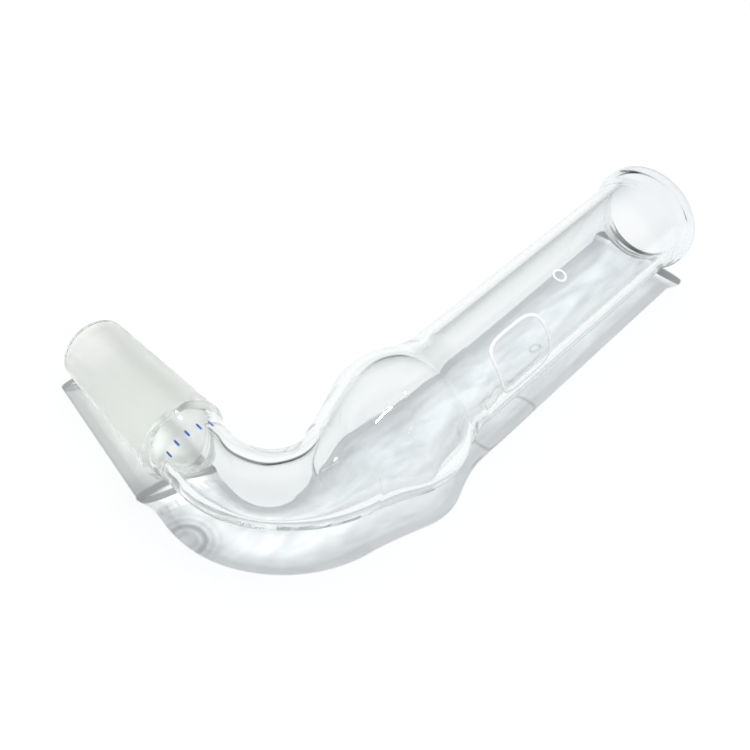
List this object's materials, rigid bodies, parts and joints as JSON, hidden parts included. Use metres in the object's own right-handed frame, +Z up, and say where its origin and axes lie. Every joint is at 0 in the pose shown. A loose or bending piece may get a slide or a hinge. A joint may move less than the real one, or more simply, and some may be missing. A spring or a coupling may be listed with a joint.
{
  "type": "bent drying tube",
  "caption": "Clear glass drying tube bent to 75 degrees, with a frosted ground cone, a pear-shaped bulb and a straight body tube with a flared open mouth.",
  "frame": {"origin": "centre of the bounding box's base, on the table that the tube lies on", "axes": "+X along the body tube towards its open mouth, +Y the side that the ground cone points to, +Z up"},
  "size_m": [0.075, 0.0442, 0.0167],
  "materials": {
    "clear_glass": "clear borosilicate glass, fire-polished",
    "frosted_glass": "clear borosilicate glass with a fine ground, frosted outside",
    "white_enamel": "fired-on white enamel, satin",
    "blue_enamel": "fired-on blue enamel, satin"
  },
  "bodies": {
    "root": {"ground_cone": "frosted_glass", "cone_shoulder": "clear_glass", "bent_stem": "clear_glass", "bulb": "clear_glass", "body_tube": "clear_glass", "mouth_rim": "clear_glass", "panel_outline": "white_enamel", "panel_bar": "white_enamel", "end_ring": "white_enamel", "size_tick_1": "blue_enamel", "size_tick_2": "blue_enamel", "size_tick_3": "blue_enamel", "size_tick_4": "blue_enamel", "size_tick_5": "blue_enamel"}
  },
  "joints": []
}
